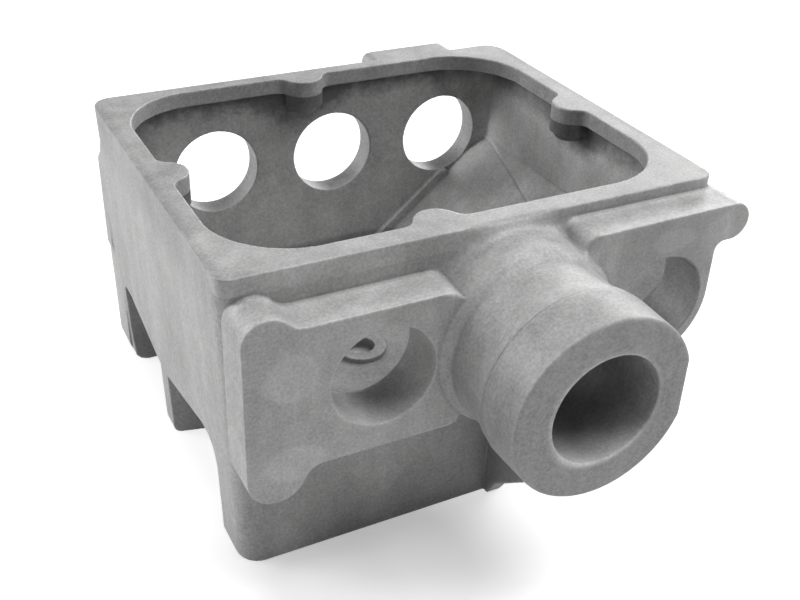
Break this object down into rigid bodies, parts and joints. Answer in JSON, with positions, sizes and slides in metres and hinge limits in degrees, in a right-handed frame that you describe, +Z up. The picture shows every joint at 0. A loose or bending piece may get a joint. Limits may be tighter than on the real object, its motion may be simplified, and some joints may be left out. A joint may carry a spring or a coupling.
{
  "type": "gearbox case",
  "caption": "Open cast gearbox case with bearing bores through its front and back walls, a long shaft boss, cover rim with screw lobes and arched feet.",
  "frame": {"origin": "on the ground plane, under the middle of the part's outer size", "axes": "+X to the right along the front, +Y to the back, +Z up; the long boss points to -Y"},
  "size_m": [0.206, 0.2384, 0.1245],
  "materials": {
    "casting": "matte, raw cast"
  },
  "bodies": {
    "root": {"case": "casting"}
  },
  "joints": []
}
